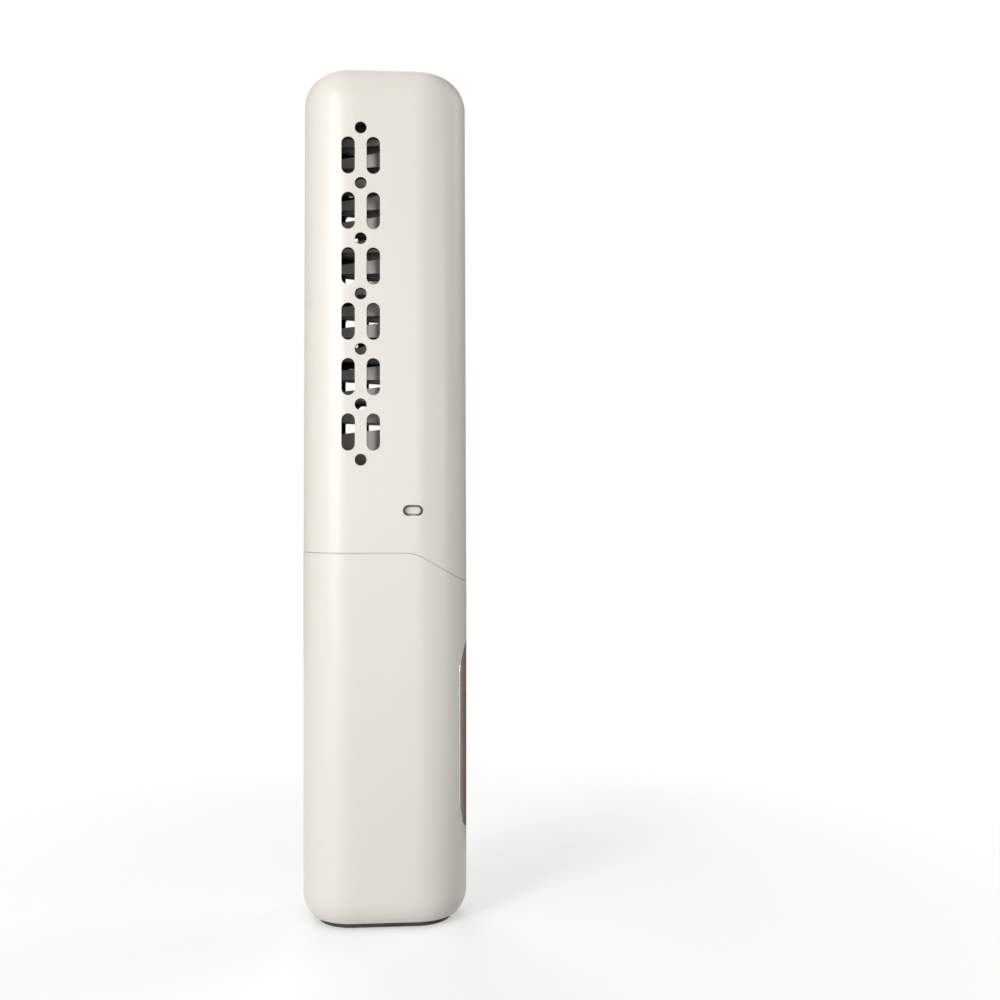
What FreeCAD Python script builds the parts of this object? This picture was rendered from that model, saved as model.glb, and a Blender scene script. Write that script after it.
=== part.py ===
"""Cordless hair straightening comb with a slotted travel cap, in millimetres.

+Z is up, the teeth point to -X, the power button is on the +X side and the front is -Y.
The origin is the middle of the underside.
"""
import FreeCAD, Part
import math
import os

V = FreeCAD.Vector
X_AXIS = V(1, 0, 0)
Y_AXIS = V(0, 1, 0)
Z_AXIS = V(0, 0, 1)
TINY = 1e-4

# Grip and its cell: cell, tray, board and switch set the grip's depth and width and the parting line's height
CELL_D = 18.4
CELL_L = 65.2
CELL_GAP = 0.2
CELL_END_GAP = 0.5
TERMINAL_D = 6.4
TERMINAL_H = 1.0
TAB_T = 0.2
TAB_W = 6.0
TAB_PLAY = 0.3
CRADLE_WALL = 0.8
TRAY_FLOOR = 3.0
TRAY_TOP = 2.6
TRAY_SIDE = 2.0
TRAY_SLOT_W = 9.0
TRAY_SLOT_L = 46.0
STACK_GAP = 0.2
WALL = 2.0
FIT_GAP = 0.3
SIDE_FLAT = 1.0
BASE_ROUND = 8.0
BASE_SINK = 1.1
FLOOR_T = 2.4
PAD_H = 1.5
PAD_SEAT = 0.6
PAD_SEAT_INSET = 5.0
PAD_PLAY = 0.1
PAD_INSET = 3.6
PAD_EDGE = 0.3

# Parting line: level, then bent down towards the button side
PLUG_DEPTH = 10.6
PART_GAP = 0.1
DIP_X = 6.9
DIP_ANGLE = 30.6
DIP_BEND_R = 8.5

# Side panel
PANEL_L = 44.7
PANEL_W = 13.8
PANEL_T = 1.1
PANEL_GLUE = 0.1
PANEL_GASKET = 0.35
PANEL_GASKET_RECESS = 0.12
LIGHT_WINDOW_L = 30.0
LIGHT_WINDOW_W = 4.0

# Cap
TOTAL_H = 199.4
TOP_ROUND = 8.0
CAP_DRAFT = 0.4
CAP_HEADROOM = 3.1
VENT_X = -5.5
VENT_TOP = 15.4
VENT_PITCH = 12.65
VENT_D = 2.72
SLOT_W = 3.06
SLOT_L = 8.5
SLOT_OFFSET = 2.86
VENT_END_GAP = 10.0
WINDOW_W = 4.6
WINDOW_H = 2.5

# Neck, with the detent nub, its rib and the key rib
NECK_H = 12.0
NECK_WALL = 1.6
NECK_EDGE = 0.25
NUB_X = 6.4
NUB_DROP = 2.2
NUB_W = 4.2
NUB_H = 2.1
NUB_OUT = 0.9
NUB_EDGE = 0.5
NUB_PLAY = 0.3
RIB_W = 1.6
RIB_OUT = 0.5
RIB_LIFT = 0.2
KEY_W = 1.2
KEY_OUT = 0.6
KEY_L = 4.6
ROOT_SINK = 0.8

# Tooth head
FLARE_H = 9.0
FLARE_FOOT = 0.3
FLARE_LEDGE = 0.1
FLARE_SINK = 0.05
FLARE_STEPS = 5
FLARE_POINTS = 48
FLARE_SAMPLES = 960
SPINE_INSET = 1.2
SPINE_R = 8.4
TIP_INSET = 1.2
TIP_R = 1.4
TIP_EDGE = 1.2
SPINE_EDGE = 4.6
HEAD_CEILING = 2.6
HEAD_SKIN = 1.1
GAP_PITCH = 4.98
GAP_TOP_BLOCK = 7.6
GAP_FOOT_BLOCK = 8.5
GAP_ROOT_X = -0.7
GAP_ROOT_H = 1.7
GAP_TIP_H = 3.5
GAP_TIP_RISE = 0.35
TOOTH_ROUND = 0.7

# Heater inside the tooth head
CORE_GAP = 0.1
CORE_TIP_HALF = 0.45
CORE_SETBACK = 0.15
CORE_BACK = 9.4
CORE_LIFT = 2.0
HEATER_X = 0.6
HEATER_T = 1.3
HEATER_PLAY = 0.05
HEATER_SHORT = 2.0
FUSE_D = 2.2
FUSE_L = 9.0
FUSE_LIFT = 20.0
FUSE_PLAY = 0.1
SENSOR_D = 1.8
SENSOR_L = 5.0
SENSOR_DEPTH = 3.0
SENSOR_X = 4.9
SENSOR_Y = 3.6
SENSOR_PLAY = 0.1
BARRIER_T = 1.6
BARRIER_DROP = 1.4
BARRIER_PLAY = 0.15
LEAD_D = 1.0
LEAD_PLAY = 0.15
LEAD_TOUCH = 0.05
LEAD_GAP = 0.9
LEAD_SPLIT = 0.6
LEAD_DROP = 4.5
LEAD_RISE = 3.6
LEAD_SOLDER = 6.0
LEAD_BEND = 0.4

# Power button, its gasket and switch
BUTTON_RISE = 4.5
BUTTON_W = 12.0
BUTTON_H = 7.0
BUTTON_RECESS = 0.05
BUTTON_GASKET = 0.5
BUTTON_GASKET_GAP = 0.12
BUTTON_GASKET_RECESS = 0.25
FLANGE_LIP = 1.0
FLANGE_T = 1.0
FLANGE_GAP = 0.15
BUTTON_STEM_D = 3.0
SWITCH_SIDE = 6.0
SWITCH_T = 3.5
PLUNGER_D = 3.4
PLUNGER_OUT = 1.0
PLUNGER_IN = 0.6
PLUNGER_ROOM = 1.3
PLUNGER_PLAY = 0.12

# Board and charging inlet
BOARD_T = 1.2
BOARD_PLAY = 0.4
BOARD_ROOM = 9.6
BOARD_FOOT = 0.7
BOARD_TOP_GAP = 1.5
LIGHT_L = 3.0
LIGHT_W = 1.4
LIGHT_T = 1.0
LIGHT_COUNT = 4
LIGHT_PITCH = 7.5
COIL_SIDE = 7.0
COIL_T = 3.2
COIL_RISE = 14.0
CHIP_SIDE = 5.0
CHIP_T = 1.0
CHIP_GAP = 5.0
POWER_SIDE = 6.0
POWER_T = 1.2
POWER_RISE = 5.0
USB_W = 8.94
USB_T = 3.26
USB_L = 7.4
USB_SKIN = 0.3
USB_BACK = 1.2
USB_RECESS = 1.0
USB_PLAY = 0.25
USB_STANDOFF = 0.1
TONGUE_W = 6.7
TONGUE_T = 0.7
TONGUE_L = 4.6

# Screws
SCREW_R = 0.9
SCREW_HEAD_R = 1.7
SCREW_HEAD_H = 1.1
SCREW_PLAY = 0.06
SCREW_CLEAR = 0.2
BOSS_R = 2.5
BOSS_H = 8.0
BOSS_WEB = 2.4
BOSS_Y = 5.2
SCREW_TIP_GAP = 0.6
BASE_SCREW_X = (-11.5, -1.5)
BOARD_SCREW_EDGE = 1.8

# Worked out from the values above
BODY_D = CELL_D + 2 * (CELL_GAP + CRADLE_WALL + FIT_GAP + WALL)
BODY_R = (BODY_D - SIDE_FLAT) / 2
INNER_INSET = WALL + FIT_GAP
NECK_W = CRADLE_WALL + CELL_D + 2 * CELL_GAP + TRAY_SIDE + BOARD_T + BOARD_ROOM + NECK_WALL
BODY_W = NECK_W + 2 * INNER_INSET
NECK_D = BODY_D - 2 * INNER_INSET
CAVITY_INSET = INNER_INSET + NECK_WALL
FLOOR_Z = PAD_H + FLOOR_T
TRAY_Z0 = FLOOR_Z + STACK_GAP
CELL_Z0 = TRAY_Z0 + TRAY_FLOOR + CELL_END_GAP
CELL_Z1 = CELL_Z0 + CELL_L
CELL_ROOF = CELL_Z1 + CELL_END_GAP
TRAY_Z1 = CELL_ROOF + TRAY_TOP
PLUG_Z = TRAY_Z1 + STACK_GAP
PART_Z = PLUG_Z + PLUG_DEPTH
PANEL_Z = PART_Z / 2
NECK_TOP = PART_Z + NECK_H
FLARE_TOP = NECK_TOP + FLARE_H
HEAD_TOP = TOTAL_H - WALL - CAP_HEADROOM
BARRIER_Z1 = NECK_TOP - BARRIER_DROP
BARRIER_Z0 = BARRIER_Z1 - BARRIER_T
NUB_Z = NECK_TOP - NUB_DROP
BUTTON_Z = PART_Z + BUTTON_RISE
CELL_X = -NECK_W / 2 + CRADLE_WALL + CELL_GAP + CELL_D / 2
BOARD_X = CELL_X + CELL_D / 2 + CELL_GAP + TRAY_SIDE
BOARD_FACE = BOARD_X + BOARD_T
BOARD_W = BODY_D - 2 * (CAVITY_INSET + BOARD_PLAY)
BOARD_SCREW_Y = BOARD_W / 2 - BOARD_SCREW_EDGE
POWER_Y = BOARD_W / 4
LIGHTS_TOP = PANEL_Z + (LIGHT_COUNT - 1) / 2 * LIGHT_PITCH + LIGHT_L / 2
CHIP_Z = LIGHTS_TOP + CHIP_GAP + CHIP_SIDE / 2
LEAD_Y = SWITCH_SIDE / 2 + LEAD_GAP + LEAD_D / 2
SENSOR_LEAD_Y = LEAD_Y + LEAD_D + LEAD_SPLIT
BOARD_Z0 = FLOOR_Z + BOARD_FOOT
BOARD_Z1 = BARRIER_Z0 - BOARD_TOP_GAP
SPINE_X = NECK_W / 2 - SPINE_INSET - SPINE_R
TIP_X = -NECK_W / 2 + TIP_INSET
TAPER = math.asin((SPINE_R - TIP_R) / (SPINE_X - TIP_X - TIP_R))
GAP_TOP_Z = HEAD_TOP - GAP_TOP_BLOCK
GAP_COUNT = int((GAP_TOP_Z - FLARE_TOP - GAP_FOOT_BLOCK) / GAP_PITCH) + 1
VENT_Z = TOTAL_H - VENT_TOP
VENT_ROWS = int((VENT_Z - NUB_Z - VENT_END_GAP) / VENT_PITCH)
CORE_Z0 = FLARE_TOP + CORE_LIFT
CORE_Z1 = HEAD_TOP - HEAD_CEILING - STACK_GAP
USB_X = BOARD_FACE + USB_STANDOFF + USB_T / 2


def circle_arc(centre, radius, start, end):
    """Arc in the plane of X and Y, from one angle to the other in degrees."""
    circle = Part.Circle(centre, Z_AXIS, radius)
    return Part.ArcOfCircle(circle, math.radians(start), math.radians(end)).toShape()


def joined(edges):
    """Close a chain of edges by straight lines from each to the next, and make its face."""
    chain = []
    for index, edge in enumerate(edges):
        chain.append(edge)
        here = edge.valueAt(edge.LastParameter)
        after = edges[(index + 1) % len(edges)]
        there = after.valueAt(after.FirstParameter)
        if here.distanceToPoint(there) > TINY:
            chain.append(Part.makeLine(here, there))
    return Part.Face(Part.Wire(chain))


def round_section(inset, z):
    """Outline of the grip, drawn in by inset: a rectangle with nearly half-round sides."""
    radius = BODY_R - inset
    x = BODY_W / 2 - inset - radius
    y = BODY_D / 2 - inset - radius
    corners = ((x, y, 0), (-x, y, 90), (-x, -y, 180), (x, -y, 270))
    return joined([circle_arc(V(cx, cy, z), radius, a, a + 90) for cx, cy, a in corners])


def slab(inset, z0, z1):
    """Upright prism of the grip's outline, drawn in by inset."""
    return round_section(inset, z0).extrude(Z_AXIS * (z1 - z0))


def edges_at(solid, z):
    """Edges that lie level at the height z."""
    return [e for e in solid.Edges if abs(e.BoundBox.ZMin - z) < TINY and abs(e.BoundBox.ZMax - z) < TINY]


def cup_form(inset, z0, z1):
    """Grip drawn in by inset, with its lower edge rounded and cut off level at z0."""
    low = inset - BASE_SINK
    solid = slab(inset, low, z1)
    solid = solid.makeFillet(BASE_ROUND - inset, edges_at(solid, low))
    return solid.common(slab(inset - WALL, z0, z1))


def pill(centre, along, axis, length, width, depth):
    """Prism with half-round ends: long in the direction along, cut off after depth along axis."""
    side = axis.cross(along)
    half = (length - width) / 2
    radius = width / 2
    end_a = centre + along * half
    end_b = centre - along * half
    arc_a = Part.Arc(end_a - side * radius, end_a + along * radius, end_a + side * radius).toShape()
    arc_b = Part.Arc(end_b + side * radius, end_b - along * radius, end_b - side * radius).toShape()
    return joined([arc_a, arc_b]).extrude(axis * depth)


def box(x0, x1, y0, y1, z0, z1):
    """Box between two corners."""
    return Part.makeBox(x1 - x0, y1 - y0, z1 - z0, V(x0, y0, z0))


def rod(radius, start, axis, length):
    """Round bar from a point along an axis."""
    return Part.makeCylinder(radius, length, start, axis)


def above_parting(lift):
    """All that is above the parting line raised by lift: level, bent, then sloping to the button side."""
    slope = math.radians(DIP_ANGLE)
    run = DIP_BEND_R * math.tan(slope / 2)
    z = PART_Z + lift
    y = -BODY_D
    bend = V(DIP_X - run, y, z - DIP_BEND_R)
    level_end = V(DIP_X - run, y, z)
    bend_mid = bend + V(math.sin(slope / 2), 0, math.cos(slope / 2)) * DIP_BEND_R
    slope_start = V(DIP_X + run * math.cos(slope), y, z - run * math.sin(slope))
    slope_end = V(BODY_W, y, z - (BODY_W - DIP_X) * math.tan(slope))
    edges = [
        Part.makeLine(V(-BODY_W, y, z), level_end),
        Part.Arc(level_end, bend_mid, slope_start).toShape(),
        Part.makeLine(slope_start, slope_end),
        Part.makeLine(V(BODY_W, y, 2 * TOTAL_H), V(-BODY_W, y, 2 * TOTAL_H)),
    ]
    return joined(edges).extrude(Y_AXIS * (2 * BODY_D))


def parting_height(x):
    """Height of the parting line on its slope."""
    return PART_Z - (x - DIP_X) * math.tan(math.radians(DIP_ANGLE))


def screw(start, axis, grip):
    """Screw with a flat head: the head's outer face at start, the shank running grip past the head."""
    head = rod(SCREW_HEAD_R, start, axis, SCREW_HEAD_H)
    shank = rod(SCREW_R, start, axis, SCREW_HEAD_H + grip)
    return head.fuse(shank).removeSplitter()


def screw_seat(start, axis, reach):
    """Room for a screw in the piece that it clamps: a seat for the head and a clear hole."""
    head = rod(SCREW_HEAD_R + SCREW_CLEAR, start, axis, SCREW_HEAD_H)
    hole = rod(SCREW_R + SCREW_CLEAR, start, axis, reach)
    return head.fuse(hole)


def base_screw_starts():
    """Outer faces of the two screw heads in the floor, under the pad."""
    return [V(x, 0, PAD_H + PAD_SEAT) for x in BASE_SCREW_X]


def base_screw_grip():
    """Length of a base screw past its head, ending inside the tray's floor."""
    return TRAY_Z0 + TRAY_FLOOR - SCREW_TIP_GAP - (PAD_H + PAD_SEAT + SCREW_HEAD_H)


def head_screw_starts():
    """Outer faces of the two screw heads in the roof of the cell's pocket."""
    return [V(CELL_X, side * BOSS_Y, CELL_ROOF) for side in (-1, 1)]


def head_screw_grip():
    """Length of a head screw past its head, ending inside its boss."""
    return PLUG_Z + BOSS_H - SCREW_TIP_GAP - (CELL_ROOF + SCREW_HEAD_H)


def board_screw_starts():
    """Outer faces of the two screw heads on the board, over the tray's floor and roof."""
    low = V(BOARD_FACE + SCREW_HEAD_H, BOARD_SCREW_Y, TRAY_Z0 + TRAY_FLOOR / 2)
    high = V(BOARD_FACE + SCREW_HEAD_H, -BOARD_SCREW_Y, CELL_ROOF + TRAY_TOP / 2)
    return [low, high]


def board_screw_grip():
    """Length of a board screw past its head: through the board and into the tray."""
    return BOARD_T + 2 * TRAY_SIDE


def usb_opening(z0, z1):
    """Opening round the charging inlet."""
    centre = V(USB_X, 0, z0)
    return pill(centre, Y_AXIS, Z_AXIS, USB_W + 2 * USB_PLAY, USB_T + 2 * USB_PLAY, z1 - z0)


def panel_pill(grow):
    """Prism of the side panel's outline, grown on all sides, out through the button side."""
    return pill(V(0, 0, PANEL_Z), Z_AXIS, X_AXIS, PANEL_L + 2 * grow, PANEL_W + 2 * grow, BODY_W)


def handle_sleeve():
    """Grip: a deep cup with rounded foot, slanted rim, panel pocket and light window."""
    solid = cup_form(0, PAD_H, PART_Z + WALL)
    solid = solid.cut(cup_form(WALL, FLOOR_Z, PART_Z + 2 * WALL))
    solid = solid.cut(slab(PAD_SEAT_INSET, PAD_H, PAD_H + PAD_SEAT))
    solid = solid.cut(above_parting(0))
    solid = solid.cut(usb_opening(0, FLOOR_Z + USB_L))
    for start in base_screw_starts():
        solid = solid.cut(screw_seat(start, Z_AXIS, FLOOR_T))
    backing = slab(PANEL_T + PANEL_GLUE, 0, PART_Z)
    solid = solid.cut(panel_pill(PANEL_GASKET).cut(backing))
    window = pill(V(0, 0, PANEL_Z), Z_AXIS, X_AXIS, LIGHT_WINDOW_L, LIGHT_WINDOW_W, BODY_W)
    return solid.cut(window)


def base_pad():
    """Dark pad under the rounded foot, with a tongue in the floor and a hole for the inlet."""
    foot = slab(PAD_INSET, 0, PAD_H)
    foot = foot.makeFillet(PAD_EDGE, edges_at(foot, 0))
    tongue = slab(PAD_SEAT_INSET + PAD_PLAY, PAD_H, PAD_H + PAD_SEAT)
    return foot.fuse(tongue).removeSplitter().cut(usb_opening(-PAD_H, FLOOR_Z))


def side_panel():
    """Curved panel flush with the grip."""
    skin = slab(0, 0, PART_Z).cut(slab(PANEL_T, 0, PART_Z))
    return skin.common(panel_pill(0))


def panel_gasket():
    """Thin ring between the panel and its pocket, set back a little."""
    skin = slab(PANEL_GASKET_RECESS, 0, PART_Z).cut(slab(PANEL_T + PANEL_GLUE, 0, PART_Z))
    return skin.common(panel_pill(PANEL_GASKET).cut(panel_pill(0)))


def cap_form(inset):
    """Outline of the cap with its draft and rounded top, drawn in by inset."""
    top = TOTAL_H - inset
    low = round_section(inset, PLUG_Z).OuterWire
    high = round_section(inset + CAP_DRAFT, top).OuterWire
    solid = Part.makeLoft([low, high], True, True)
    return solid.makeFillet(TOP_ROUND - inset, edges_at(solid, top))


def cap_vents():
    """Vents through the front and rear walls: a column of holes with a pair of slots between each two."""
    start = V(VENT_X, -BODY_D, VENT_Z)
    through = 2 * BODY_D
    tools = []
    for row in range(VENT_ROWS + 1):
        tools.append(rod(VENT_D / 2, start - Z_AXIS * (row * VENT_PITCH), Y_AXIS, through))
    for row in range(VENT_ROWS):
        for side in (-1, 1):
            centre = start + V(side * SLOT_OFFSET, 0, -(row + 0.5) * VENT_PITCH)
            tools.append(pill(centre, Z_AXIS, Y_AXIS, SLOT_L, SLOT_W, through))
    return tools


def cap_shell():
    """Travel cap: thin shell with vents, detent window and the two grooves that pass nub and ribs."""
    solid = cap_form(0).cut(cap_form(WALL))
    solid = solid.common(above_parting(PART_GAP))
    solid = solid.cut(Part.Compound(cap_vents()))
    solid = solid.cut(pill(V(NUB_X, -BODY_D, NUB_Z), X_AXIS, Y_AXIS, WINDOW_W, WINDOW_H, BODY_D))
    reach = NUB_W / 2 + NUB_PLAY
    nub_face = NECK_D / 2 + NUB_OUT + NUB_PLAY
    solid = solid.cut(box(NUB_X - reach, NUB_X + reach, -nub_face, 0, PLUG_Z, NUB_Z + WINDOW_H / 2))
    key_half = KEY_W / 2 + NUB_PLAY
    key_face = NECK_W / 2 + KEY_OUT + NUB_PLAY
    return solid.cut(box(0, key_face, -key_half, key_half, PLUG_Z, key_top() + NUB_PLAY))


def key_foot():
    """Lower end of the key rib, just above the slanted rim."""
    return parting_height(NECK_W / 2) + RIB_LIFT


def key_top():
    """Upper end of the key rib, under the button."""
    return key_foot() + KEY_L


def head_section(inset, z):
    """Outline of the tooth head: round spine, two flats that taper to a rounded tooth tip."""
    spread = 90 + math.degrees(TAPER)
    spine = circle_arc(V(SPINE_X, 0, z), SPINE_R - inset, -spread, spread)
    tip = circle_arc(V(TIP_X + TIP_R, 0, z), TIP_R - inset, spread, 360 - spread)
    return joined([spine, tip])


def core_section(inset, z):
    """Outline of the hollow in the tooth head: the same taper, cut off square near the tooth tips."""
    spread = 90 + math.degrees(TAPER)
    spine = circle_arc(V(SPINE_X, 0, z), SPINE_R - inset, -spread, spread)
    top = spine.valueAt(spine.LastParameter)
    run = (top.y - CORE_TIP_HALF) / math.sin(TAPER)
    front = top.x - run * math.cos(TAPER)
    blunt = Part.makeLine(V(front, CORE_TIP_HALF, z), V(front, -CORE_TIP_HALF, z))
    return joined([spine, blunt])


def closed_curve(points):
    """Smooth closed wire through points."""
    curve = Part.BSplineCurve()
    curve.interpolate(Points=points, PeriodicFlag=True)
    return Part.Wire([curve.toShape()])


def even_points(face):
    """Points spread evenly along a section's outline from its +X end, anticlockwise."""
    wire = face.OuterWire
    dense = wire.discretize(Number=FLARE_SAMPLES)
    start = max(range(len(dense)), key=lambda i: (dense[i].x, -abs(dense[i].y)))
    ring = dense[start:] + dense[1:start]
    if ring[len(ring) // 4].y < 0:
        ring = [ring[0]] + ring[:0:-1]
    return [ring[round(i * len(ring) / FLARE_POINTS)] for i in range(FLARE_POINTS)]


def flare():
    """Hollow-curved shoulder from the neck's outline to the tooth head's outline."""
    low = even_points(round_section(INNER_INSET + NECK_EDGE + FLARE_LEDGE, 0))
    high = even_points(head_section(FLARE_SINK, 0))
    wires = []
    for step in range(FLARE_STEPS + 1):
        rise = step / FLARE_STEPS
        share = 1 - (1 - rise) ** 2
        z = NECK_TOP - FLARE_FOOT + rise * (FLARE_FOOT + FLARE_H)
        wires.append(closed_curve([a * (1 - share) + b * share + Z_AXIS * z for a, b in zip(low, high)]))
    return Part.makeLoft(wires, True, False)


def tooth_gap(z, grow):
    """Wedge gap between two teeth, its upper edge at z by the rounded root, grown by grow."""
    top = z + grow
    height = GAP_ROOT_H + 2 * grow
    radius = height / 2
    root = GAP_ROOT_X + grow - radius
    mouth = TIP_X - TIP_R
    fall = (GAP_TIP_H - GAP_ROOT_H - GAP_TIP_RISE) / (GAP_ROOT_X - TIP_X)
    low = top - height - fall * (root - mouth)
    y = -BODY_D
    corner = V(TIP_X + TOOTH_ROUND, y, top + GAP_TIP_RISE + TOOTH_ROUND)
    diagonal = V(-1, 0, -1) * (TOOTH_ROUND / math.sqrt(2))
    round_tip = Part.Arc(corner - X_AXIS * TOOTH_ROUND, corner + diagonal, corner - Z_AXIS * TOOTH_ROUND)
    round_root = Part.Arc(V(root, y, top), V(root + radius, y, top - radius), V(root, y, top - height))
    outside = Part.makeLine(V(mouth, y, low), V(mouth, y, corner.z))
    return joined([round_tip.toShape(), round_root.toShape(), outside]).extrude(Y_AXIS * (2 * BODY_D))


def tooth_gaps(grow):
    """All gaps of the comb."""
    return Part.Compound([tooth_gap(GAP_TOP_Z - i * GAP_PITCH, grow) for i in range(GAP_COUNT)])


def detent_nub():
    """Nub on the front of the neck that shows in the cap's window."""
    centre = V(NUB_X, -NECK_D / 2 + ROOT_SINK, NUB_Z)
    solid = pill(centre, X_AXIS, -Y_AXIS, NUB_W, NUB_H, ROOT_SINK + NUB_OUT)
    face = -NECK_D / 2 - NUB_OUT
    rim = [e for e in solid.Edges if abs(e.BoundBox.YMax - face) < TINY]
    return solid.makeFillet(NUB_EDGE, rim)


def neck_ribs():
    """Rib from the nub down to the rim, and the key rib under the button."""
    front = -NECK_D / 2
    half = RIB_W / 2
    rib = box(NUB_X - half, NUB_X + half, front - RIB_OUT, front + ROOT_SINK, PART_Z + RIB_LIFT, NUB_Z)
    side = NECK_W / 2
    key = box(side - ROOT_SINK, side + KEY_OUT, -KEY_W / 2, KEY_W / 2, key_foot(), key_top())
    return [rib, key]


def button_pill(grow):
    """Prism of the button's outline, grown on all sides, out through the button side."""
    return pill(V(BOARD_FACE, 0, BUTTON_Z), Y_AXIS, X_AXIS, BUTTON_W + 2 * grow, BUTTON_H + 2 * grow, BODY_W)


def toothless_comb():
    """Tooth head before its gaps are cut: the top edge's round grows from the tips to the spine."""
    solid = head_section(0, NECK_TOP - NECK_EDGE).extrude(Z_AXIS * (HEAD_TOP - NECK_TOP + NECK_EDGE))
    document = FreeCAD.newDocument("tooth_head")
    base = document.addObject("Part::Feature", "plain")
    base.Shape = solid
    rounded = document.addObject("Part::Fillet", "rounded")
    rounded.Base = base
    rounds = []
    for number, edge in enumerate(solid.Edges, start=1):
        if abs(edge.BoundBox.ZMin - HEAD_TOP) > TINY:
            continue
        ends = [edge.valueAt(edge.FirstParameter).x, edge.valueAt(edge.LastParameter).x]
        radii = [SPINE_EDGE if x > 0 else TIP_EDGE for x in ends]
        rounds.append((number, radii[0], radii[1]))
    rounded.Edges = rounds
    document.recompute()
    shape = rounded.Shape.copy()
    FreeCAD.closeDocument(document.Name)
    return shape


def head_outer():
    """Outside of the head: neck, flare, tooth head, nub and ribs in one."""
    neck = slab(INNER_INSET, PLUG_Z, NECK_TOP)
    neck = neck.makeFillet(NECK_EDGE, edges_at(neck, NECK_TOP))
    return neck.multiFuse([flare(), toothless_comb(), detent_nub()] + neck_ribs())


def head_bosses():
    """Screw bosses that hang in the plug, each on a web from its own half of the neck."""
    solids = []
    wall = NECK_D / 2 - NECK_WALL / 2
    for start in head_screw_starts():
        side = math.copysign(1, start.y)
        boss = rod(BOSS_R, V(start.x, start.y, PLUG_Z), Z_AXIS, BOSS_H)
        near, far = sorted((start.y, side * wall))
        web = box(start.x - BOSS_WEB / 2, start.x + BOSS_WEB / 2, near, far, PLUG_Z, PLUG_Z + BOSS_H)
        solids.append(boss.fuse(web))
    return solids


def head_shells():
    """The whole head, hollow, split down the middle into its front and rear halves."""
    solid = head_outer()
    solid = solid.cut(slab(CAVITY_INSET, PLUG_Z - WALL, BARRIER_Z1))
    hollow = core_section(HEAD_SKIN, BARRIER_Z1).extrude(Z_AXIS * (HEAD_TOP - HEAD_CEILING - BARRIER_Z1))
    solid = solid.cut(hollow)
    solid = solid.cut(tooth_gaps(0))
    solid = solid.cut(button_pill(BUTTON_GASKET))
    solid = solid.multiFuse(head_bosses())
    bore_length = SCREW_HEAD_H + head_screw_grip() + SCREW_PLAY
    for start in head_screw_starts():
        solid = solid.cut(rod(SCREW_R + SCREW_PLAY, start, Z_AXIS, bore_length))
    front = solid.common(box(-BODY_W, BODY_W, -BODY_D, 0, 0, TOTAL_H))
    rear = solid.common(box(-BODY_W, BODY_W, 0, BODY_D, 0, TOTAL_H))
    return front, rear


def in_core(x0, x1):
    """Prism of the tooth head's hollow less a running gap, between two places along X."""
    prism = core_section(HEAD_SKIN + CORE_GAP, CORE_Z0).extrude(Z_AXIS * (CORE_Z1 - CORE_Z0))
    return prism.common(box(x0, x1, -BODY_D, BODY_D, CORE_Z0, CORE_Z1))


def sensor_place():
    """Middle of the comb's lower end where the temperature bead goes in."""
    return V(SENSOR_X, SENSOR_Y, CORE_Z0 - SENSOR_L + SENSOR_DEPTH)


def heater_comb():
    """Cast comb between the shells: its teeth lie a little back from theirs, with a slot for the heater."""
    solid = in_core(-BODY_W, CORE_BACK).cut(tooth_gaps(CORE_SETBACK))
    half = HEATER_T / 2 + HEATER_PLAY
    solid = solid.cut(box(HEATER_X, BODY_W, -half, half, CORE_Z0, CORE_Z1))
    bore = rod(SENSOR_D / 2 + SENSOR_PLAY, sensor_place(), Z_AXIS, SENSOR_L + SENSOR_PLAY)
    return solid.cut(bore)


def ceramic_heater():
    """Flat heating element in the comb's slot."""
    play = HEATER_PLAY
    return box(HEATER_X + play, CORE_BACK, -HEATER_T / 2, HEATER_T / 2, CORE_Z0, CORE_Z1 - HEATER_SHORT)


def fuse_start():
    """Lower end of the thermal fuse, which lies against the back of the comb."""
    return V(CORE_BACK + FUSE_PLAY + FUSE_D / 2, 0, CORE_Z0 + FUSE_LIFT)


def spine_insulator():
    """Block behind the comb, with a groove for the thermal fuse."""
    solid = in_core(CORE_BACK, BODY_W)
    start = fuse_start()
    reach = FUSE_D / 2 + FUSE_PLAY
    groove = rod(reach, start - Z_AXIS * FUSE_PLAY, Z_AXIS, FUSE_L + 2 * FUSE_PLAY)
    way_in = box(0, start.x, -reach, reach, start.z - FUSE_PLAY, start.z + FUSE_L + FUSE_PLAY)
    return solid.cut(groove.fuse(way_in))


def thermal_fuse():
    """Small cut-out in the insulator's groove."""
    return rod(FUSE_D / 2, fuse_start(), Z_AXIS, FUSE_L)


def temperature_sensor():
    """Bead half sunk in the comb's lower end."""
    return rod(SENSOR_D / 2, sensor_place(), Z_AXIS, SENSOR_L)


def lead_routes():
    """Routes of the two heater leads and the sensor lead, from the head down to the board's face."""
    x = BOARD_FACE + LEAD_TOUCH + LEAD_D / 2
    quarter = (CORE_BACK - HEATER_X) / 4
    starts = [
        (V(HEATER_X + quarter, 0, CORE_Z0), -LEAD_Y),
        (V(CORE_BACK - quarter, 0, CORE_Z0), LEAD_Y),
        (sensor_place(), SENSOR_LEAD_Y),
    ]
    routes = []
    for start, y in starts:
        knee = V(start.x, start.y, CORE_Z0 - LEAD_DROP)
        foot = V(x, y, BARRIER_Z1 + LEAD_RISE)
        end = V(x, y, BARRIER_Z0 - LEAD_SOLDER)
        routes.append([start, knee, foot, end])
    return routes


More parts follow.
